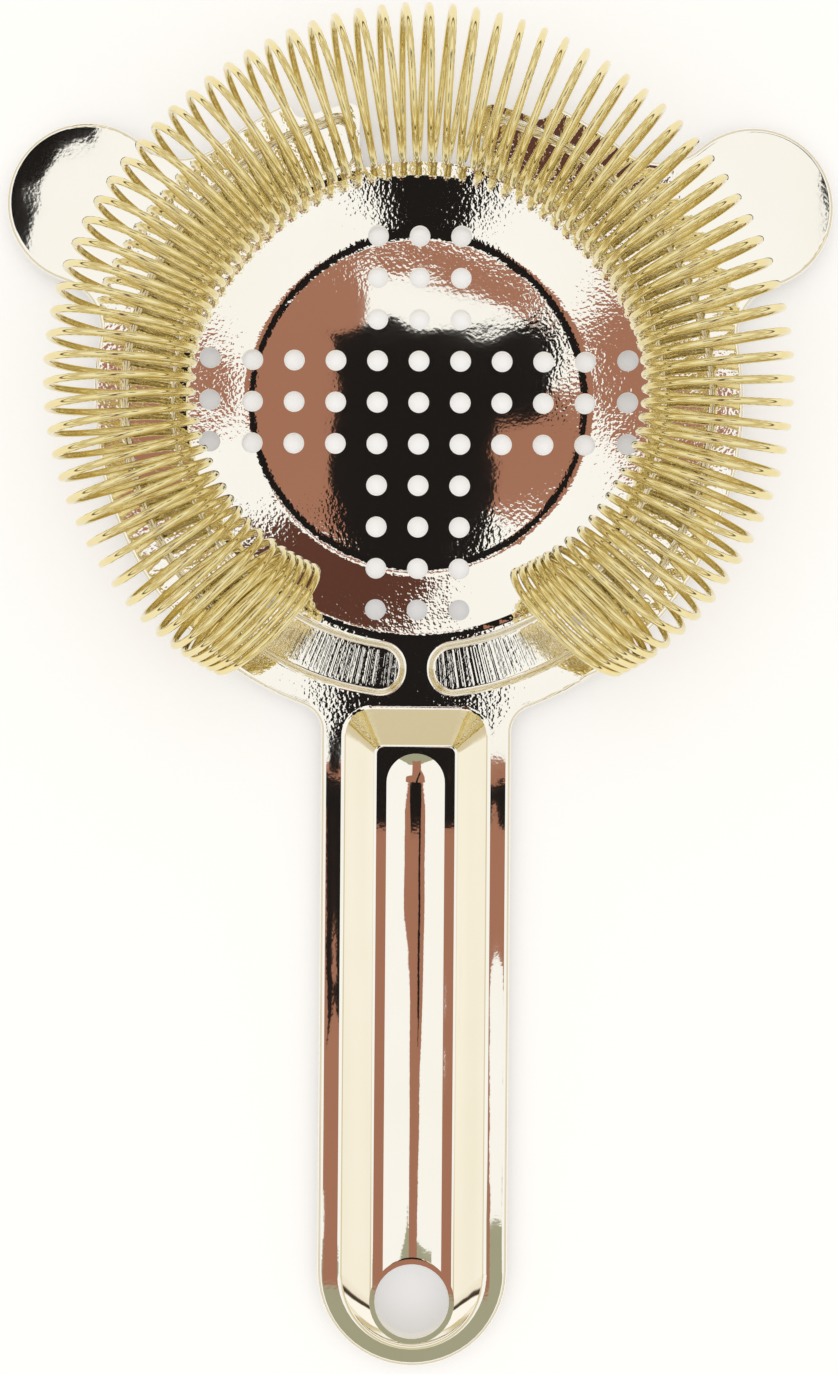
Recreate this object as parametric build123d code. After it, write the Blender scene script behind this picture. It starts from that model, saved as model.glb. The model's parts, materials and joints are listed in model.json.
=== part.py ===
"""Hawthorne strainer: one pressed sheet (round perforated plate, two ears, handle) and one long
coil spring, bent into an open ring, that rests on the plate's rim.

Frame: millimetres, +Z up, towards the spring's side, +Y towards the pouring window in front,
-Y towards the handle's end. The origin is under the middle of the whole strainer, at the level
of the flat bottom it lies on. The sketches are drawn about the round plate's centre, and every
piece is moved forward by PLATE_FORWARD at the end.
"""
from build123d import *
import math
import os

# --- sheet: one thickness, pressed to these levels
SHEET = 1.0
RIM_TOP = 2.6
RIM_BOTTOM = RIM_TOP - SHEET
CUT_EDGE_R = 0.25
TOP_EDGE_R = 0.7
ABOVE_ALL = 8.0
SLACK = 0.01

# --- round plate and its dished middle
PLATE_R = 39.0
DISH_FLAT_R = 19.5
DISH_EDGE_R = 28.6
DISH_FLOOR = SHEET
DISH_FOOT_R = 8.0
DISH_LIP_R = 4.0

# --- perforations, a cross of three rows by three columns
HOLE_R = 1.25
HOLE_PITCH = 5.0
LONG_COLUMN = range(-5, 5)
CROSS_ARM = range(-5, 6)
MIDDLE_THREE = (-1, 0, 1)

# --- pouring window cut into the front rim
WINDOW_HALF_WIDTH = 7.3
WINDOW_SIDE_START = 27.8
WINDOW_ARC_R = 13.3
WINDOW_ARC_CENTRE_Y = 38.9
WINDOW_STEP_R = 36.4
WINDOW_STEP_ANGLE = 24.0
WINDOW_CORNER_R = 1.2
OUTSIDE_R = 60.0

# --- ears that sit on the glass
EAR_X = 39.8
EAR_Y = 23.3
EAR_R = 9.7
EAR_FRONT_BLEND_R = 7.0
EAR_REAR_BLEND_R = 6.0

# --- handle
HANDLE_HALF_WIDTH = 11.4
HANDLE_END_CENTRE_Y = -104.1
NECK_BLEND_R = 3.2

# --- raised, hip-ended pad along the handle, and its hollow underside
PAD_TOP = 5.4
PAD_BASE = dict(half_width=8.9, north=-36.4, end_y=-104.0, corner_r=3.4)
PAD_CREST = dict(half_width=4.8, north=-41.2, end_y=-106.5, corner_r=1.0)
POCKET_BASE = dict(half_width=8.5, north=-36.8, end_y=-103.8, corner_r=3.0)
POCKET_CREST = dict(half_width=4.3, north=-41.6, end_y=-106.4, corner_r=0.9)
PAD_CREST_EDGE_R = 0.6
PAD_FOOT_R = 0.9
PAD_ROOT = 0.2
GROOVE_R = 12.0
GROOVE_DEPTH = 0.5
GROOVE_FRONT_Y = -45.5

# --- hanging hole with its drawn collar
HANG_Y = -106.6
HANG_R = 4.4
COLLAR_R = 5.0
COLLAR_TOP = 5.2
COLLAR_BOTTOM = 3.4

# --- two channels that the coil beds in, left and right
CHANNEL_IN_R = 29.5
CHANNEL_OUT_R = 35.2
CHANNEL_FLOOR = 1.4
CHANNEL_FRONT_ANGLE = 14.8
CHANNEL_REAR_ANGLE = 176.9
CHANNEL_FRONT_CORNER_R = 1.3
CHANNEL_REAR_CORNER_R = 2.7
CHANNEL_WALL = 0.7
CHANNEL_LIP_R = 0.5
CHANNEL_FLOOR_EDGE_R = 0.45
RIB_ANGLE = 146.8
RIB_WIDTH = 1.6
RIB_TOP = 2.1

# --- coil spring
WIRE_R = 0.42
TURN_R = 8.6 - WIRE_R
RING_R = 33.6
RING_WAVE = 0.43
RING_FORWARD = 0.4
COIL_LIFT = 0.25
TURNS = 86
PITCH_OPEN = 3.67
PITCH_CLOSED = 1.8
CLOSED_TURNS = 5.07
END_TURNS = 8.0
END_SKEW = 14.0
END_PULL_IN = 1.4
END_LEAN = 19.0
ROUNDING = 0.97
COIL_BOTTOM = RIM_TOP + COIL_LIFT + WIRE_R
ARC_BREAKS = dict(spring_left_end=(0, 13), spring_left=(13, 31), spring_front=(31, 55),
                  spring_right=(55, 73), spring_right_end=(73, 86))

# --- hooked wire ends, dropped into small holes in the channel floors
TAIL_BEND_R = 1.3
TAIL_END_Z = 0.6
TAIL_HOLE_R = 0.85

HANDLE_END_Y = HANDLE_END_CENTRE_Y - HANDLE_HALF_WIDTH
COIL_FRONT_Y = RING_FORWARD + RING_R + RING_WAVE + TURN_R + WIRE_R
PLATE_FORWARD = -(HANDLE_END_Y + COIL_FRONT_Y) / 2


# ---------------------------------------------------------------- plate
def polar(radius, angle):
    """A point at this angle in degrees, clockwise from the front (+Y), seen from above."""
    turn = math.radians(angle)
    return (radius * math.sin(turn), radius * math.cos(turn))


def wedge(start, end):
    """A flat piece of pie from one clockwise angle to the other, larger than the plate."""
    middle = [polar(OUTSIDE_R, start + (end - start) * step / 4) for step in range(5)]
    return make_face(Polyline((0, 0), *middle, (0, 0)))


def corners_near(sketch, places, reach=0.6):
    """The sketch's vertices that lie within reach of any of the given places."""
    return [v for v in sketch.vertices()
            if any(math.hypot(v.X - x, v.Y - y) < reach for x, y in places)]


def both_sides(places):
    return [(side * x, y) for x, y in places for side in (-1, 1)]


def circle_crossings(radius, other_x, other_y, other_r):
    """Where a circle about the origin meets another circle: first rear, then front."""
    gap = math.hypot(other_x, other_y)
    along = (radius ** 2 - other_r ** 2 + gap ** 2) / (2 * gap)
    across = math.sqrt(radius ** 2 - along ** 2)
    ux, uy = other_x / gap, other_y / gap
    return [(along * ux + side * across * uy, along * uy - side * across * ux)
            for side in (1, -1)]


def body_outline():
    """Round plate, ears and handle before the window is cut."""
    outline = Circle(PLATE_R)
    for side in (-1, 1):
        outline += Pos(side * EAR_X, EAR_Y) * Circle(EAR_R)
    rear, front = circle_crossings(PLATE_R, EAR_X, EAR_Y, EAR_R)
    outline = fillet(corners_near(outline, both_sides([front])), EAR_FRONT_BLEND_R)
    outline = fillet(corners_near(outline, both_sides([rear])), EAR_REAR_BLEND_R)
    length = -HANDLE_END_CENTRE_Y
    handle = Pos(0, -length / 2) * Rectangle(2 * HANDLE_HALF_WIDTH, length)
    handle += Pos(0, HANDLE_END_CENTRE_Y) * Circle(HANDLE_HALF_WIDTH)
    outline += handle
    neck = (HANDLE_HALF_WIDTH, -math.sqrt(PLATE_R ** 2 - HANDLE_HALF_WIDTH ** 2))
    return fillet(corners_near(outline, both_sides([neck])), NECK_BLEND_R)


def window():
    """The pouring window: a curved notch between the channels, wider outside them."""
    length = OUTSIDE_R - WINDOW_SIDE_START
    notch = Pos(0, WINDOW_SIDE_START + length / 2) * Rectangle(2 * WINDOW_HALF_WIDTH, length)
    between = Pos(0, WINDOW_SIDE_START) * Rectangle(2 * WINDOW_HALF_WIDTH, 2 * WINDOW_ARC_R)
    notch += Pos(0, WINDOW_ARC_CENTRE_Y) * Circle(WINDOW_ARC_R) & between
    step = wedge(-WINDOW_STEP_ANGLE, WINDOW_STEP_ANGLE) - Circle(WINDOW_STEP_R)
    return notch + step


def plate_outline():
    outline = body_outline() - window()
    horn = (WINDOW_HALF_WIDTH, math.sqrt(WINDOW_STEP_R ** 2 - WINDOW_HALF_WIDTH ** 2))
    places = [horn, polar(WINDOW_STEP_R, WINDOW_STEP_ANGLE), polar(PLATE_R, WINDOW_STEP_ANGLE)]
    return fillet(corners_near(outline, both_sides(places)), WINDOW_CORNER_R)


def edges_at(solid, level):
    """The solid's edges that lie flat at one height."""
    return solid.edges().filter_by_position(Axis.Z, level - SLACK, level + SLACK)


def is_mouth(edge):
    """True for the edges of the channels' mouths."""
    place = edge @ 0.5
    radius = math.hypot(place.X, place.Y)
    beside = abs(place.X) > WINDOW_HALF_WIDTH + SLACK or place.Y < 0
    return beside and CHANNEL_IN_R - SLACK < radius < CHANNEL_OUT_R + SLACK


def flange():
    """The flat sheet at rim level: rounded edges, the window cut out, the channels' mouths rolled."""
    sheet = extrude(body_outline(), SHEET)
    sheet = fillet(edges_at(sheet, SHEET), TOP_EDGE_R)
    sheet = fillet(edges_at(sheet, 0), CUT_EDGE_R)
    sheet = sheet & extrude(plate_outline(), SHEET)
    sheet -= mirrored(extrude(channel_sketch(0), SHEET))
    sheet = fillet([edge for edge in edges_at(sheet, SHEET) if is_mouth(edge)], CHANNEL_LIP_R)
    return Pos(0, 0, RIM_BOTTOM) * sheet


def dish_wall_angle():
    """Slope of the dish's conical wall, which touches the foot's arc and the lip's arc."""
    run = DISH_EDGE_R - DISH_FLAT_R
    both_r = DISH_FOOT_R + DISH_LIP_R
    drop = both_r - (RIM_TOP - DISH_FLOOR)
    return math.asin(both_r / math.hypot(run, drop)) - math.atan2(drop, run)


def dish(drop, top):
    """The dish's hollow, or with drop its underside: flat, foot, conical wall, rolled lip."""
    lean = dish_wall_angle()
    foot_r = DISH_FOOT_R + drop
    lip_r = DISH_LIP_R - drop
    start = Vector(DISH_FLAT_R, 0, DISH_FLOOR - drop)
    edge = Vector(DISH_EDGE_R, 0, RIM_TOP - drop)
    foot = [start + Vector(foot_r * math.sin(turn), 0, foot_r * (1 - math.cos(turn)))
            for turn in (lean / 2, lean)]
    lip = [edge - Vector(lip_r * math.sin(turn), 0, lip_r * (1 - math.cos(turn)))
           for turn in (lean, lean / 2)]
    section = [Line((0, 0, start.Z), start), ThreePointArc(start, *foot), Line(foot[1], lip[0]),
               ThreePointArc(*lip, edge),
               Polyline(edge, (DISH_EDGE_R, 0, top), (0, 0, top), (0, 0, start.Z))]
    return revolve(make_face(section), Axis.Z)


def channel_sketch(spread):
    """One channel's plan on the right, grown by spread on every side."""
    lean = math.degrees(spread / CHANNEL_IN_R)
    inner = CHANNEL_IN_R - spread
    outer = CHANNEL_OUT_R + spread
    ends = (CHANNEL_FRONT_ANGLE - lean, CHANNEL_REAR_ANGLE + lean / 2)
    plan = (Circle(outer) - Circle(inner)) & wedge(*ends)
    front = [polar(inner, ends[0]), polar(outer, ends[0])]
    rear = [polar(inner, ends[1]), polar(outer, ends[1])]
    plan = fillet(corners_near(plan, front), CHANNEL_FRONT_CORNER_R)
    return fillet(corners_near(plan, rear), CHANNEL_REAR_CORNER_R)


def channel_solid(spread, floor, top, edge_r):
    block = Pos(0, 0, floor) * extrude(channel_sketch(spread), top - floor)
    return fillet(edges_at(block, floor), edge_r)


def channel_recess():
    """What is pressed out of the sheet: the channel, less the low rib that crosses it."""
    x, y = polar((CHANNEL_IN_R + CHANNEL_OUT_R) / 2, RIB_ANGLE)
    rib_z = (CHANNEL_FLOOR + RIB_TOP) / 2
    rib = Pos(x, y, rib_z) * Rot(0, 0, -RIB_ANGLE) * Box(
        RIB_WIDTH, 2 * (CHANNEL_OUT_R - CHANNEL_IN_R), RIB_TOP - CHANNEL_FLOOR)
    return channel_solid(0, CHANNEL_FLOOR, ABOVE_ALL, CHANNEL_FLOOR_EDGE_R) - rib


def channel_pan():
    """The pressed channel's floor and walls, up to where the mouth's roll begins."""
    outside = channel_solid(CHANNEL_WALL, CHANNEL_FLOOR - SHEET, RIM_TOP - CHANNEL_LIP_R,
                            2 * CHANNEL_FLOOR_EDGE_R)
    return outside - channel_recess()


def hip_outline(half_width, north, end_y, corner_r, z):
    """Long plan with two rounded corners in front and a half circle at the handle's end."""
    plan = Pos(0, (north + end_y) / 2) * Rectangle(2 * half_width, north - end_y)
    plan = fillet(corners_near(plan, both_sides([(half_width, north)])), corner_r)
    plan += Pos(0, end_y) * Circle(half_width)
    return Pos(0, 0, z) * plan.faces()[0]


def groove(radius):
    """A long round-ended bar whose underside shapes the groove along the pad's crest."""
    axis_z = PAD_TOP - GROOVE_DEPTH + GROOVE_R
    length = GROOVE_FRONT_Y - HANG_Y
    bar = Pos(0, (GROOVE_FRONT_Y + HANG_Y) / 2, axis_z) * Rot(90, 0, 0) * Cylinder(radius, length)
    return bar + Pos(0, GROOVE_FRONT_Y, axis_z) * Sphere(radius)


def pad():
    """The raised pad's outside, down to the rim's level."""
    base = hip_outline(**PAD_BASE, z=RIM_TOP - PAD_ROOT)
    crest = hip_outline(**PAD_CREST, z=PAD_TOP)
    block = loft([base, crest], ruled=True)
    block = fillet(edges_at(block, PAD_TOP), PAD_CREST_EDGE_R)
    return block - groove(GROOVE_R)


def pad_pocket():
    """The hollow under the pad, one sheet thickness inside it."""
    base = hip_outline(**POCKET_BASE, z=RIM_BOTTOM - SLACK)
    crest = hip_outline(**POCKET_CREST, z=PAD_TOP - SHEET)
    return loft([base, crest], ruled=True) - groove(GROOVE_R + SHEET)


def perforation_places():
    rows = [(column, row) for column in MIDDLE_THREE for row in LONG_COLUMN]
    arms = [(column, row) for column in CROSS_ARM for row in MIDDLE_THREE]
    return sorted({(column * HOLE_PITCH, row * HOLE_PITCH) for column, row in rows + arms})


def hang_collar():
    height = COLLAR_TOP - COLLAR_BOTTOM
    return Pos(0, HANG_Y, COLLAR_BOTTOM + height / 2) * Cylinder(COLLAR_R, height)


def upright(radius, x, y):
    """A long upright drill."""
    return Pos(x, y) * Cylinder(radius, 2 * ABOVE_ALL)


def mirrored(solid):
    return solid + mirror(solid, Plane.YZ)


def is_pad_foot(edge):
    """True for the edges where the pad's slopes meet the flat sheet."""
    place = edge @ 0.5
    rear = PAD_BASE["end_y"] - PAD_BASE["half_width"] - PAD_ROOT
    beside = abs(place.X) < PAD_BASE["half_width"] + PAD_ROOT
    return beside and rear < place.Y < PAD_BASE["north"] + PAD_ROOT


def strainer_plate():
    plate = flange() + pad()
    plate = fillet(edges_at(plate, RIM_TOP).filter_by(is_pad_foot), PAD_FOOT_R)
    plate -= pad_pocket()
    plate += hang_collar()
    plate -= Pos(0, HANG_Y, COLLAR_TOP + ABOVE_ALL / 2) * Cylinder(COLLAR_R, ABOVE_ALL)
    plate -= upright(HANG_R, 0, HANG_Y)
    plate += dish(SHEET, RIM_TOP - CUT_EDGE_R)
    plate -= dish(0, ABOVE_ALL)
    plate += mirrored(channel_pan())
    for x, y in perforation_places():
        plate -= upright(HOLE_R, x, y)
    for turn in (0, TURNS):
        x, y, _ = tail_place(turn)
        plate -= upright(TAIL_HOLE_R, x, y)
    return plate


# ---------------------------------------------------------------- spring
def ring_angle(turn):
    """Clockwise angle of the coil's middle line: even turns, closed up towards both ends."""
    from_end = min(turn, TURNS - turn)
    past = from_end - CLOSED_TURNS
    eased = 0 if past < -1 else past if past > 1 else (past + 1) ** 2 / 4
    swept = PITCH_CLOSED * from_end + (PITCH_OPEN - PITCH_CLOSED) * eased
    half = PITCH_CLOSED * TURNS / 2 + (PITCH_OPEN - PITCH_CLOSED) * (TURNS / 2 - CLOSED_TURNS)
    return swept - half if turn < TURNS / 2 else half - swept


def coil_corner(turn):
    """Corner of the square helix that the round turns are drawn inside.

    The turns stand upright in front and lean more and more towards the spring's ends.
    """
    angle = ring_angle(turn)
    near_end = max(0.0, 1 - min(turn, TURNS - turn) / END_TURNS)
    ring = RING_R + RING_WAVE * math.cos(4 * math.radians(angle)) - END_PULL_IN * near_end
    towards_end = math.copysign(1, angle)
    skew = -towards_end * END_SKEW * near_end
    lean = math.radians(END_LEAN) * (angle / ring_angle(TURNS)) ** 2
    spoke = math.radians(270 + 360 * turn)
    reach = TURN_R * math.sqrt(2)
    out = reach * math.cos(spoke)
    up = reach * math.sin(spoke)
    ring_x, ring_y = polar(ring, angle)
    out_x, out_y = polar(out, angle + skew)
    lean_x, lean_y = polar(towards_end * up * math.sin(lean), angle + skew + 90)
    height = COIL_BOTTOM + (TURN_R + up) * math.cos(lean)
    return Vector(ring_x + out_x + lean_x, ring_y + out_y + lean_y + RING_FORWARD, height)


def corner_arc(before, corner, after):
    """The arc that rounds a corner, from near the middle of one side to near that of the next."""
    to_before = (before - corner).normalized()
    to_after = (after - corner).normalized()
    reach = ROUNDING * min((before - corner).length, (after - corner).length)
    half = math.radians(to_before.get_angle(to_after)) / 2
    radius = reach * math.tan(half)
    bisector = (to_before + to_after).normalized()
    middle = corner + bisector * (math.hypot(reach, radius) - radius)
    return ThreePointArc(corner + to_before * reach, middle, corner + to_after * reach)


def rounded_path(start, corners, end):
    """Straight runs and tangent arcs from start to end, with a rounding at every corner."""
    middles = [(a + b) / 2 for a, b in zip(corners, corners[1:])]
    stops = [start, *middles, end]
    edges = []
    place = start
    for before, corner, after in zip(stops, corners, stops[1:]):
        arc = corner_arc(before, corner, after)
        edges.append(Line(place, arc @ 0))
        edges.append(arc)
        place = arc @ 1
    edges.append(Line(place, end))
    return edges


def bottom_middle(turn):
    return (coil_corner(turn - 0.125) + coil_corner(turn + 0.125)) / 2


def tail_direction(turn):
    """Level direction of the wire at the bottom of the first or last turn, out of the coil."""
    along = (coil_corner(turn + 0.125) - coil_corner(turn - 0.125)).normalized()
    return -along if turn == 0 else along


def tail_place(turn):
    """The centre of the wire's upright hooked end, at the level of the coil's bottom."""
    start = bottom_middle(turn)
    hook = start + tail_direction(turn) * TAIL_BEND_R
    return hook.X, hook.Y, start.Z


def tail_edges(turn):
    """Quarter bend from the coil's bottom down to the upright hooked end."""
    start = bottom_middle(turn)
    x, y, z = tail_place(turn)
    out = tail_direction(turn)
    low = Vector(x, y, z - TAIL_BEND_R)
    middle = start + out * (TAIL_BEND_R * math.sin(math.pi / 4)) - Vector(
        0, 0, TAIL_BEND_R * (1 - math.cos(math.pi / 4)))
    return [ThreePointArc(start, middle, low), Line(low, (x, y, TAIL_END_Z))]


def spring_arc(first, last):
    """One stretch of the coil, from one whole turn to another, with its hook if it has one."""
    corners = [coil_corner(turn + part / 8) for turn in range(first, last) for part in (1, 3, 5, 7)]
    edges = rounded_path(bottom_middle(first), corners, bottom_middle(last))
    if first == 0:
        edges += tail_edges(first)
    if last == TURNS:
        edges += tail_edges(last)
    path = Wire(edges)
    wire = sweep(Plane(origin=path @ 0, z_dir=path % 0) * Circle(WIRE_R), path)
    expected = math.pi * WIRE_R ** 2 * path.length
    print(f"coil {first}-{last}: length {path.length:.1f}, volume {wire.volume:.1f}, expected {expected:.1f}")
    return wire


def save(name, shape):
    shape = Pos(0, PLATE_FORWARD) * shape
    export_step(shape, f"parts/{name}.step")


def main():
    os.makedirs("parts", exist_ok=True)
    save("strainer_plate", strainer_plate())
    for name, (first, last) in ARC_BREAKS.items():
        save(name, spring_arc(first, last))


if __name__ == "__main__":
    main()
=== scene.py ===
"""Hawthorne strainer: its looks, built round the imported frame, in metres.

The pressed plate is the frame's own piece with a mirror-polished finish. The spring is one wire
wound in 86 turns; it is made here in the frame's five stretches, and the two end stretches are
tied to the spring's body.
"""

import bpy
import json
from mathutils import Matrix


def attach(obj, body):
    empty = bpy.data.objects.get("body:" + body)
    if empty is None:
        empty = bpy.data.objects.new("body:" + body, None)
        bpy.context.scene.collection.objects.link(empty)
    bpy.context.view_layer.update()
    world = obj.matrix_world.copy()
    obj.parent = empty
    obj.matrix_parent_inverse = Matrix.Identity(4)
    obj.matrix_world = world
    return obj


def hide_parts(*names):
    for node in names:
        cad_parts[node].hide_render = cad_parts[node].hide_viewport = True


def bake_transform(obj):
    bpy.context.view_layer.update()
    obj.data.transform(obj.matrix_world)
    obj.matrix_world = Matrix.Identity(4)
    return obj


bl_info = {
    "name": "Hawthorne Strainer",
    "version": (1, 0, 0),
    "blender": (4, 5, 0),
    "location": "View3D > Sidebar > Strainer",
    "description": "Finishes, spring and studio of a one-piece bar strainer",
    "category": "Add Mesh",
}

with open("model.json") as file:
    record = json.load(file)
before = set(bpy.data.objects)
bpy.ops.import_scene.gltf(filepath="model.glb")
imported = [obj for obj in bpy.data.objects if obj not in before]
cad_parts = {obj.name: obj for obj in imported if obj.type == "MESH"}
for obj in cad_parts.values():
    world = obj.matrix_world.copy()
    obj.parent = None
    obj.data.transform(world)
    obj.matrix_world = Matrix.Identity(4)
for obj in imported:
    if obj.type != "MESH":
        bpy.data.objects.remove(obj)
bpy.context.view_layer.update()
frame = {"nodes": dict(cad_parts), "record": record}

import json
import math

import bpy
from bpy.props import FloatProperty, FloatVectorProperty, IntProperty, PointerProperty
from mathutils import Vector

MM = 0.001
HANG_HOLE = next(m for m in frame["record"]["mounts"] if m["name"] == "hang_hole")
HANG_HOLE_TO_CENTRE = 106.6 * MM
CENTRE_Y = HANG_HOLE["pos_m"][1] + HANG_HOLE_TO_CENTRE


def linear(hex_colour):
    """An sRGB hex colour as the linear red, green and blue that shaders take."""
    parts = [int(hex_colour[at:at + 2], 16) / 255 for at in (1, 3, 5)]
    return [p / 12.92 if p <= 0.04045 else ((p + 0.055) / 1.055) ** 2.4 for p in parts]


# ---------------------------------------------------------------- what a user would change
class StrainerSpringSizes(bpy.types.PropertyGroup):
    wire_radius: FloatProperty(
        name="Wire radius", description="Half of the spring wire's thickness",
        default=0.42 * MM, unit="LENGTH", precision=5)
    turn_radius: FloatProperty(
        name="Turn radius", description="From the coil's middle line to the wire's centre",
        default=8.18 * MM, unit="LENGTH", precision=5)
    ring_radius: FloatProperty(
        name="Ring radius", description="Radius of the ring that the coil is bent into",
        default=33.6 * MM, unit="LENGTH", precision=5)
    ring_wave: FloatProperty(
        name="Ring wave", description="How far the ring swells in front and at the sides",
        default=0.43 * MM, unit="LENGTH", precision=5)
    ring_forward: FloatProperty(
        name="Ring forward", description="How far the ring sits forward of the plate's centre",
        default=0.4 * MM, unit="LENGTH", precision=5)
    lowest_wire: FloatProperty(
        name="Lowest wire", description="Height of the wire's centre at the bottom of each turn",
        default=3.27 * MM, unit="LENGTH", precision=5)
    turns: IntProperty(
        name="Turns", description="Turns of the whole spring", default=86)
    open_pitch: FloatProperty(
        name="Open pitch", description="Angle round the ring from one turn to the next",
        default=math.radians(3.67), unit="ROTATION")
    closed_pitch: FloatProperty(
        name="Closed pitch", description="The same angle in the bundles at both ends",
        default=math.radians(1.8), unit="ROTATION")
    closed_turns: FloatProperty(
        name="Closed turns", description="Turns in the bundle at each end", default=5.07)
    end_turns: FloatProperty(
        name="Skewed turns", description="Turns over which the ends skew", default=8.0)
    end_skew: FloatProperty(
        name="End skew", description="How far the last turns point off the ring's centre",
        default=math.radians(14), unit="ROTATION")
    end_lean: FloatProperty(
        name="End lean", description="How far the last turns lean over from upright",
        default=math.radians(19), unit="ROTATION")
    end_pull: FloatProperty(
        name="End pull", description="How far the ends are pulled in towards the centre",
        default=1.4 * MM, unit="LENGTH", precision=5)
    hook_radius: FloatProperty(
        name="Hook radius", description="Bend of the wire's two hooked ends",
        default=1.3 * MM, unit="LENGTH", precision=5)
    hook_end: FloatProperty(
        name="Hook end", description="Height at which the hooked ends stop",
        default=0.6 * MM, unit="LENGTH", precision=5)


class StrainerFinishes(bpy.types.PropertyGroup):
    plate_tint: FloatVectorProperty(
        name="Plate tint", description="Champagne plating on the pressed plate",
        default=linear("#FBF8F0"), subtype="COLOR", min=0, max=1)
    plate_shade: FloatVectorProperty(
        name="Plate shade", description="The plating where it is a little thicker",
        default=linear("#F6F1E3"), subtype="COLOR", min=0, max=1)
    wire_tint: FloatVectorProperty(
        name="Wire tint", description="Gold plating on the spring wire",
        default=linear("#F2E8BE"), subtype="COLOR", min=0, max=1)
    wire_shade: FloatVectorProperty(
        name="Wire shade", description="The deeper gold along the wire",
        default=linear("#E9D792"), subtype="COLOR", min=0, max=1)


class StrainerStudio(bpy.types.PropertyGroup):
    camera_height: FloatProperty(
        name="Camera height", description="Height of the lens above the table",
        default=193 * MM, unit="LENGTH")
    camera_across: FloatProperty(
        name="Camera across", description="Where the lens is, left to right",
        default=0.3 * MM, unit="LENGTH", precision=5)
    camera_forward: FloatProperty(
        name="Camera forward", description="Where the lens is, back to front",
        default=2.0 * MM, unit="LENGTH", precision=5)
    camera_roll: FloatProperty(
        name="Camera roll", description="Turn of the camera about its own axis",
        default=math.radians(0.45), unit="ROTATION")
    view_angle: FloatProperty(
        name="View angle", description="Angle of view over the picture's long side",
        default=math.radians(46.6), unit="ROTATION")


# ---------------------------------------------------------------- helpers
def add_node(tree, kind, inputs=None, **settings):
    """Adds a node: settings are its properties, and inputs are values or the sockets they come from."""
    made = tree.nodes.new(kind)
    for name, value in settings.items():
        setattr(made, name, value)
    for name, value in (inputs or {}).items():
        if isinstance(value, bpy.types.NodeSocket):
            tree.links.new(value, made.inputs[name])
        else:
            made.inputs[name].default_value = value
    return made


def new_material(name):
    """An empty node material with its output."""
    material = bpy.data.materials.new(name)
    material.use_nodes = True
    material.node_tree.nodes.clear()
    return material, material.node_tree


def finish_piece(piece, material):
    piece.data.materials.clear()
    piece.data.materials.append(material)


# ---------------------------------------------------------------- finishes
def plate_material(finishes):
    """Stainless steel, pressed, mirror polished and plated a pale champagne.

    It shows the room like a mirror. Pressing leaves an orange-peel grain, strongest on the
    dish's stretched wall, which breaks the edges of what it reflects into specks.
    """
    material, tree = new_material("mirror_polished_champagne_plated_steel")
    place = add_node(tree, "ShaderNodeTexCoord")
    centred = add_node(tree, "ShaderNodeMapping", {
        "Vector": place.outputs["Object"], "Location": (0, -CENTRE_Y, 0)})
    tone = add_node(tree, "ShaderNodeTexNoise", {
        "Vector": place.outputs["Object"], "Scale": 1 / (14 * MM), "Detail": 2})
    colour = add_node(tree, "ShaderNodeMix", {
        0: tone.outputs["Fac"], 6: (*finishes.plate_tint, 1), 7: (*finishes.plate_shade, 1)},
        data_type="RGBA")
    flat = add_node(tree, "ShaderNodeVectorMath", {0: centred.outputs[0], 1: (1, 1, 0)},
                    operation="MULTIPLY")
    radius = add_node(tree, "ShaderNodeVectorMath", {0: flat.outputs[0]}, operation="LENGTH")
    stretched = add_node(tree, "ShaderNodeMapRange", {
        "Value": radius.outputs["Value"], "From Min": 14 * MM, "From Max": 20 * MM,
        "To Min": 0.12, "To Max": 1.0})
    pressed = add_node(tree, "ShaderNodeMapRange", {
        "Value": radius.outputs["Value"], "From Min": 38 * MM, "From Max": 42 * MM,
        "To Min": 1.0, "To Max": 0.1})
    grain = add_node(tree, "ShaderNodeMath", {0: stretched.outputs[0], 1: pressed.outputs[0]},
                     operation="MULTIPLY")
    peel = add_node(tree, "ShaderNodeTexNoise", {
        "Vector": place.outputs["Object"], "Scale": 1 / (0.45 * MM), "Detail": 1})
    peel_bump = add_node(tree, "ShaderNodeBump", {
        "Strength": grain.outputs[0], "Distance": 0.010 * MM, "Height": peel.outputs["Fac"]})
    streak_bump = channel_streaks(tree, centred.outputs[0], radius.outputs["Value"],
                                  peel_bump.outputs[0])
    wave = add_node(tree, "ShaderNodeTexNoise", {
        "Vector": place.outputs["Object"], "Scale": 1 / (7 * MM), "Detail": 1})
    wave_bump = add_node(tree, "ShaderNodeBump", {
        "Strength": 1.0, "Distance": 0.03 * MM, "Height": wave.outputs["Fac"],
        "Normal": streak_bump})
    drawn = add_node(tree, "ShaderNodeMapping", {
        "Vector": place.outputs["Object"], "Scale": (1 / (2.2 * MM), 1 / (60 * MM), 0)})
    draw_lines = add_node(tree, "ShaderNodeTexNoise", {
        "Vector": drawn.outputs[0], "Scale": 1.0, "Detail": 0})
    along = add_node(tree, "ShaderNodeSeparateXYZ", {0: centred.outputs[0]})
    on_handle = add_node(tree, "ShaderNodeMapRange", {
        "Value": along.outputs["Y"], "From Min": -40 * MM, "From Max": -48 * MM})
    draw_bump = add_node(tree, "ShaderNodeBump", {
        "Strength": on_handle.outputs[0], "Distance": 0.05 * MM,
        "Height": draw_lines.outputs["Fac"], "Normal": wave_bump.outputs[0]})
    shader = add_node(tree, "ShaderNodeBsdfPrincipled", {
        "Base Color": colour.outputs[2], "Metallic": 1.0, "Roughness": 0.03,
        "Normal": draw_bump.outputs[0]})
    add_node(tree, "ShaderNodeOutputMaterial", {"Surface": shader.outputs[0]})
    return material


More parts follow.
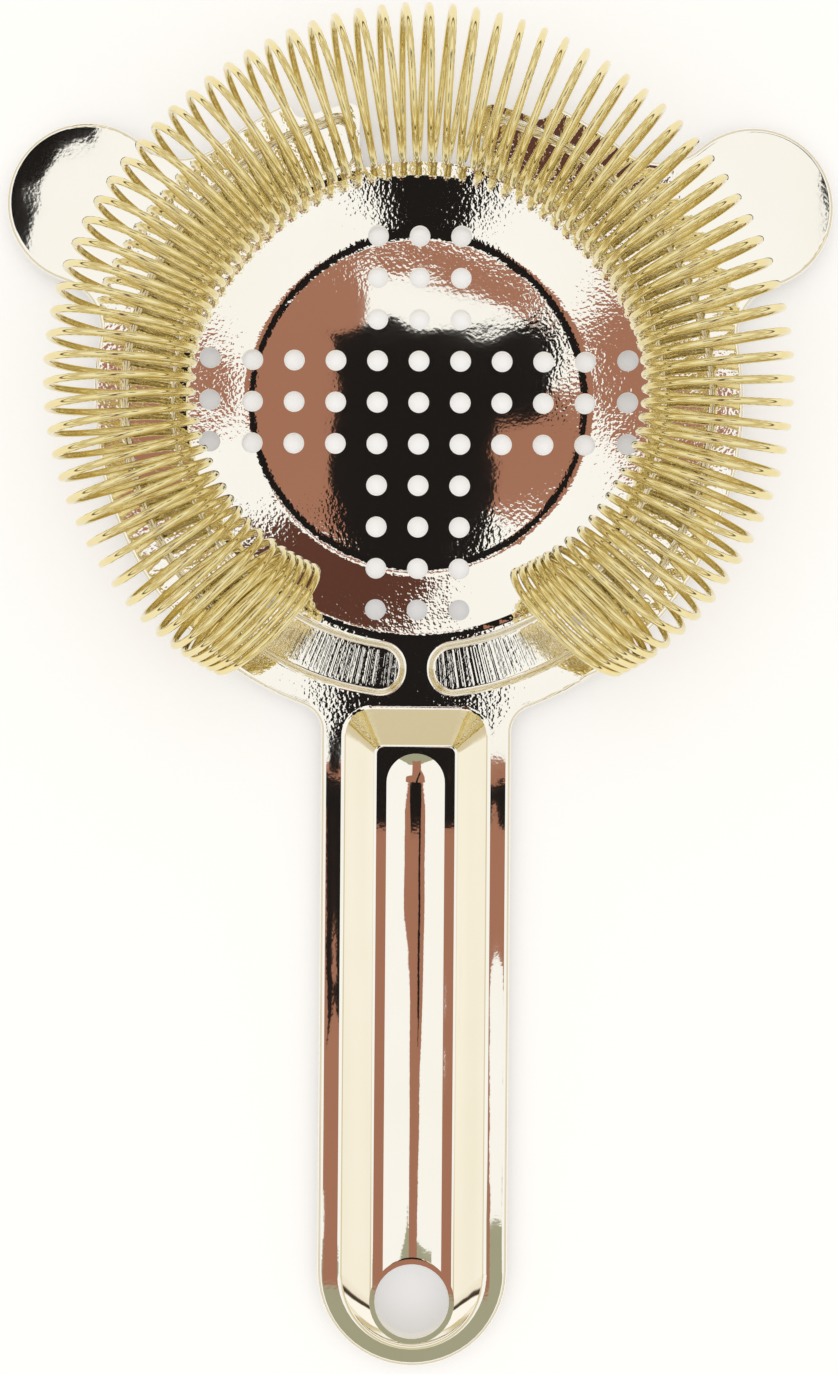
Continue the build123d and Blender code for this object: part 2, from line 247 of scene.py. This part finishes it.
def channel_streaks(tree, from_centre, radius, normal):
    """Brushing across the channels' rear floors, left by the tool that pressed them."""
    parts = add_node(tree, "ShaderNodeSeparateXYZ", {0: from_centre})
    angle = add_node(tree, "ShaderNodeMath", {0: parts.outputs["X"], 1: parts.outputs["Y"]},
                     operation="ARCTAN2")
    across = add_node(tree, "ShaderNodeCombineXYZ", {"X": angle.outputs[0]})
    streaks = add_node(tree, "ShaderNodeTexNoise", {
        "Vector": across.outputs[0], "Scale": 32 / 0.35, "Detail": 2})
    floor_in = add_node(tree, "ShaderNodeMapRange", {
        "Value": radius, "From Min": 29.9 * MM, "From Max": 30.5 * MM})
    floor_out = add_node(tree, "ShaderNodeMapRange", {
        "Value": radius, "From Min": 34.2 * MM, "From Max": 34.8 * MM, "To Min": 1, "To Max": 0})
    rear = add_node(tree, "ShaderNodeMapRange", {
        "Value": parts.outputs["Y"], "From Min": -24 * MM, "From Max": -28 * MM})
    low = add_node(tree, "ShaderNodeMath", {0: parts.outputs["Z"], 1: 1.9 * MM},
                   operation="LESS_THAN")
    amount = low
    for mask in (floor_in, floor_out, rear):
        amount = add_node(tree, "ShaderNodeMath", {0: amount.outputs[0], 1: mask.outputs[0]},
                          operation="MULTIPLY")
    bump = add_node(tree, "ShaderNodeBump", {
        "Strength": amount.outputs[0], "Distance": 0.022 * MM, "Height": streaks.outputs["Fac"],
        "Normal": normal})
    return bump.outputs[0]


def wire_material(finishes):
    """Hard-drawn steel spring wire, bright gold plated."""
    material, tree = new_material("gold_plated_drawn_spring_wire")
    place = add_node(tree, "ShaderNodeTexCoord")
    tone = add_node(tree, "ShaderNodeTexNoise", {
        "Vector": place.outputs["Object"], "Scale": 1 / (3 * MM), "Detail": 2})
    colour = add_node(tree, "ShaderNodeMix", {
        0: tone.outputs["Fac"], 6: (*finishes.wire_tint, 1), 7: (*finishes.wire_shade, 1)},
        data_type="RGBA")
    shader = add_node(tree, "ShaderNodeBsdfPrincipled", {
        "Base Color": colour.outputs[2], "Metallic": 1.0, "Roughness": 0.09})
    add_node(tree, "ShaderNodeOutputMaterial", {"Surface": shader.outputs[0]})
    return material


# ---------------------------------------------------------------- the spring's line
def polar(radius, angle):
    """A point at this angle clockwise from the front, seen from above."""
    return Vector((radius * math.sin(angle), radius * math.cos(angle), 0))


def ring_angle(sizes, turn):
    """Clockwise angle of the coil's middle line: even turns, closed up towards both ends."""
    wider = sizes.open_pitch - sizes.closed_pitch
    from_end = min(turn, sizes.turns - turn)
    past = from_end - sizes.closed_turns
    eased = 0 if past < -1 else past if past > 1 else (past + 1) ** 2 / 4
    swept = sizes.closed_pitch * from_end + wider * eased
    half = sizes.closed_pitch * sizes.turns / 2 + wider * (sizes.turns / 2 - sizes.closed_turns)
    return swept - half if turn < sizes.turns / 2 else half - swept


def coil_point(sizes, turn):
    """The wire's centre after this many turns; whole turns are at the coil's bottom.

    The turns stand upright in front and lean more and more towards the spring's ends.
    """
    angle = ring_angle(sizes, turn)
    near_end = max(0.0, 1 - min(turn, sizes.turns - turn) / sizes.end_turns)
    ring = sizes.ring_radius + sizes.ring_wave * math.cos(4 * angle) - sizes.end_pull * near_end
    towards_end = math.copysign(1, angle)
    heading = angle - towards_end * sizes.end_skew * near_end
    lean = sizes.end_lean * (angle / ring_angle(sizes, sizes.turns)) ** 2
    spoke = math.radians(270 + 360 * turn)
    out = sizes.turn_radius * math.cos(spoke)
    up = sizes.turn_radius * math.sin(spoke)
    sideways = towards_end * up * math.sin(lean)
    place = polar(ring, angle) + polar(out, heading) + polar(sideways, heading + math.pi / 2)
    height = sizes.lowest_wire + (sizes.turn_radius + up) * math.cos(lean)
    return place + Vector((0, CENTRE_Y + sizes.ring_forward, height))


def hook_points(sizes, turn):
    """The hooked end after the first or last turn: a quarter bend down, then straight."""
    step = 0.02
    along = coil_point(sizes, turn + step) - coil_point(sizes, turn - step)
    out = Vector((along.x, along.y, 0)).normalized() * (-1 if turn == 0 else 1)
    start = coil_point(sizes, turn)
    steps = 10
    bend = []
    for number in range(1, steps + 1):
        lean = math.pi / 2 * number / steps
        drop = Vector((0, 0, sizes.hook_radius * (1 - math.cos(lean))))
        bend.append(start + out * sizes.hook_radius * math.sin(lean) - drop)
    foot = Vector((bend[-1].x, bend[-1].y, sizes.hook_end))
    return bend + [foot]


def wire_line(sizes, first, last):
    """The points of one stretch of the wire, with its hook if it has one."""
    steps_per_turn = 56
    steps = round((last - first) * steps_per_turn)
    line = [coil_point(sizes, first + step / steps_per_turn) for step in range(steps + 1)]
    if first == 0:
        line = hook_points(sizes, first)[::-1] + line
    if last == sizes.turns:
        line = line + hook_points(sizes, last)
    return line


def round_wire(name, line, radius):
    """A round wire along the line, as a closed mesh."""
    curve = bpy.data.curves.new(name, "CURVE")
    curve.dimensions = "3D"
    curve.bevel_depth = radius
    curve.bevel_resolution = 6
    curve.use_fill_caps = True
    spline = curve.splines.new("POLY")
    spline.points.add(len(line) - 1)
    for point, place in zip(spline.points, line):
        point.co = (*place, 1)
    piece = bpy.data.objects.new(name, curve)
    bpy.context.scene.collection.objects.link(piece)
    bpy.ops.object.select_all(action="DESELECT")
    piece.select_set(True)
    bpy.context.view_layer.objects.active = piece
    bpy.ops.object.convert(target="MESH")
    piece = bpy.context.view_layer.objects.active
    bpy.ops.object.shade_smooth_by_angle(angle=math.radians(50))
    return piece


# ---------------------------------------------------------------- operators
STRETCHES = {
    "left_end": (0, 13), "left": (13, 31), "front": (31, 55),
    "right": (55, 73), "right_end": (73, 86)}


class SpringBuilder(bpy.types.Operator):
    """Winds the spring wire in its five stretches, in place of the frame's, and ties the two end
    stretches to the spring's body
    """
    bl_idname = "strainer.wind_spring"
    bl_label = "Wind the spring"

    def execute(self, context):
        sizes = context.scene.strainer_spring
        material = wire_material(context.scene.strainer_finishes)
        directions = {"front": Vector((0, 1, 0)), "left": Vector((-1, 0, 0)),
                      "right": Vector((1, 0, 0))}
        for side, (first, last) in STRETCHES.items():
            piece = round_wire(f"wire_{side}", wire_line(sizes, first, last), sizes.wire_radius)
            finish_piece(piece, material)
            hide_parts(f"spring_{side}")
            if side in directions:
                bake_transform(piece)
            else:
                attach(piece, "spring")
        return {"FINISHED"}


class PlateFinisher(bpy.types.Operator):
    """Gives the pressed plate its mirror-polished plating"""
    bl_idname = "strainer.finish_plate"
    bl_label = "Finish the plate"

    def execute(self, context):
        plate = frame["nodes"]["strainer_plate"]
        material = plate_material(context.scene.strainer_finishes)
        plate.data.materials.clear()
        plate.data.materials.append(material)
        return {"FINISHED"}


def glow_material(name, hex_colour, strength=1.0):
    """A card that only shows in polished metal."""
    material, tree = new_material(name)
    glow = add_node(tree, "ShaderNodeEmission", {
        "Color": (*linear(hex_colour), 1), "Strength": strength})
    add_node(tree, "ShaderNodeOutputMaterial", {"Surface": glow.outputs[0]})
    return material


def card(name, corners, height, material):
    """A flat card over the table, seen only in what the metal reflects."""
    mesh = bpy.data.meshes.new(name)
    mesh.from_pydata([(x * MM, y * MM, height) for x, y in corners], [], [range(len(corners))])
    piece = bpy.data.objects.new(name, mesh)
    bpy.context.scene.collection.objects.link(piece)
    piece.data.materials.append(material)
    for ray in ("camera", "diffuse", "shadow", "transmission", "volume_scatter"):
        setattr(piece, f"visible_{ray}", False)
    return piece


HORIZON_TO_CEILING = (
    (0.03, "#3A322B"), (0.09, "#5A4A3C"), (0.13, "#F2EBDA"), (0.30, "#FFFBEF"), (0.36, "#DDD1B4"),
    (0.47, "#D6CAA8"), (0.56, "#E6DDC2"), (0.64, "#FFFFFF"))


def studio_world():
    world = bpy.data.worlds.new("white_studio")
    bpy.context.scene.world = world
    world.use_nodes = True
    tree = world.node_tree
    tree.nodes.clear()
    path = add_node(tree, "ShaderNodeLightPath")
    place = add_node(tree, "ShaderNodeTexCoord")
    height = add_node(tree, "ShaderNodeSeparateXYZ", {0: place.outputs["Generated"]})
    ramp = add_node(tree, "ShaderNodeValToRGB", {"Fac": height.outputs["Z"]})
    stops = ramp.color_ramp.elements
    stops.remove(stops[1])
    stops[0].position = 0.0
    stops[0].color = (*linear("#C9C2B4"), 1)
    for position, hex_colour in HORIZON_TO_CEILING:
        stop = stops.new(position)
        stop.color = (*linear(hex_colour), 1)
    seen = add_node(tree, "ShaderNodeMix", {
        0: path.outputs["Is Camera Ray"], 6: ramp.outputs["Color"], 7: (1, 1, 1, 1)},
        data_type="RGBA")
    light = add_node(tree, "ShaderNodeBackground", {"Color": seen.outputs[2], "Strength": 1.0})
    add_node(tree, "ShaderNodeOutputWorld", {"Surface": light.outputs[0]})


OWN_WHITE = 0.42
TABLE_GREY = 0.68


def table_material():
    """White matt laminate: two fifths of its white is its own, so the shade under the plate is pale."""
    material, tree = new_material("white_matt_table")
    path = add_node(tree, "ShaderNodeLightPath")
    direct = add_node(tree, "ShaderNodeMath", {0: path.outputs["Diffuse Depth"], 1: 0.5},
                      operation="LESS_THAN")
    own_white = add_node(tree, "ShaderNodeMath", {0: direct.outputs[0], 1: OWN_WHITE},
                         operation="MULTIPLY")
    matt = add_node(tree, "ShaderNodeBsdfDiffuse", {"Color": (*[TABLE_GREY] * 3, 1)})
    glow = add_node(tree, "ShaderNodeEmission", {
        "Color": (*linear("#FFFCFB"), 1), "Strength": own_white.outputs[0]})
    both = add_node(tree, "ShaderNodeAddShader", {0: matt.outputs[0], 1: glow.outputs[0]})
    add_node(tree, "ShaderNodeOutputMaterial", {"Surface": both.outputs[0]})
    return material


class StudioBuilder(bpy.types.Operator):
    """Sets the table, the light, the dark and warm things overhead, and the camera"""
    bl_idname = "strainer.set_studio"
    bl_label = "Set the studio"

    def execute(self, context):
        studio = context.scene.strainer_studio
        bpy.ops.object.select_all(action="DESELECT")
        bpy.ops.mesh.primitive_plane_add(size=6.0, location=(0, 0, 0))
        table = context.object
        table.name = "table"
        table.location.z = -0.02 * MM
        table.data.materials.append(table_material())
        studio_world()
        dark = glow_material("black_camera_body", "#1E1B1A")
        warm = glow_material("brown_sleeve", "#A77560")
        deep = glow_material("brown_shade", "#5E3B30")
        olive = glow_material("olive_grey_cloth", "#A5A48C")
        card("camera_body", [(-42, -40), (30, -46), (34, 90), (38, 132), (66, 138), (68, 185),
                             (30, 178), (-20, 184), (-44, 176)], 0.6, dark)
        card("sleeve_right", [(30, 92), (70, 84), (150, 118), (158, 162), (60, 150), (30, 150)],
             0.605, warm)
        card("sleeve_left", [(-160, 82), (-30, 64), (-30, 215), (60, 184), (62, 212), (-20, 240),
                             (-90, 214), (-165, 160)], 0.605, warm)
        card("shade_far", [(40, 250), (110, 230), (150, 330), (20, 420), (-30, 330)], 0.605, deep)
        card("collar", [(-30, -40), (24, -40), (60, -50), (44, -68), (-50, -66), (-64, -50)],
             0.607, dark)
        card("strap", [(-54, -40), (-36, -44), (-38, -160), (-49, -176), (-53, -150)], 0.606, dark)
        card("shirt", [(-35, -30), (30, -30), (110, -60), (105, -115), (44, -138), (36, -160),
                       (34, -300), (-60, -300), (-60, -200), (-100, -120), (-110, -60)],
             0.61, warm)
        card("tripod", [(-260, -300), (60, -262), (260, -330), (200, -520), (-240, -520)],
             0.612, olive)
        card("flag_left", [(-330, 190), (-200, 200), (-197, 226), (-191, 245), (-180, 261),
                           (-163, 271), (-150, 300), (-150, 420), (-330, 420)], 0.6, dark)
        card("flag_right", [(199, 200), (203, 240), (197, 262), (184, 282), (160, 300),
                            (160, 420), (330, 420), (330, 190)], 0.6, dark)
        camera = bpy.data.cameras.new("camera")
        holder = bpy.data.objects.new("camera", camera)
        context.scene.collection.objects.link(holder)
        camera.sensor_width = 36
        camera.lens = camera.sensor_width / 2 / math.tan(studio.view_angle / 2)
        camera.clip_start = 0.01
        holder.location = (studio.camera_across, studio.camera_forward, studio.camera_height)
        holder.rotation_euler = (0, 0, studio.camera_roll)
        context.scene.camera = holder
        context.scene.view_settings.view_transform = "Standard"
        return {"FINISHED"}


class StrainerPanel(bpy.types.Panel):
    bl_idname = "VIEW3D_PT_strainer"
    bl_label = "Hawthorne strainer"
    bl_space_type = "VIEW_3D"
    bl_region_type = "UI"
    bl_category = "Strainer"

    def draw(self, context):
        layout = self.layout
        for group in (context.scene.strainer_spring, context.scene.strainer_finishes,
                      context.scene.strainer_studio):
            box = layout.box()
            for name in group.__annotations__:
                box.prop(group, name)
        for operator in (PlateFinisher, SpringBuilder, StudioBuilder):
            layout.operator(operator.bl_idname)


CLASSES = (StrainerSpringSizes, StrainerFinishes, StrainerStudio, PlateFinisher, SpringBuilder,
           StudioBuilder, StrainerPanel)


def register():
    for kind in CLASSES:
        bpy.utils.register_class(kind)
    bpy.types.Scene.strainer_spring = PointerProperty(type=StrainerSpringSizes)
    bpy.types.Scene.strainer_finishes = PointerProperty(type=StrainerFinishes)
    bpy.types.Scene.strainer_studio = PointerProperty(type=StrainerStudio)


def unregister():
    for name in ("strainer_spring", "strainer_finishes", "strainer_studio"):
        delattr(bpy.types.Scene, name)
    for kind in reversed(CLASSES):
        bpy.utils.unregister_class(kind)


def main():
    register()
    bpy.ops.strainer.finish_plate()
    bpy.ops.strainer.wind_spring()
    bpy.ops.strainer.set_studio()


if __name__ == "__main__":
    main()
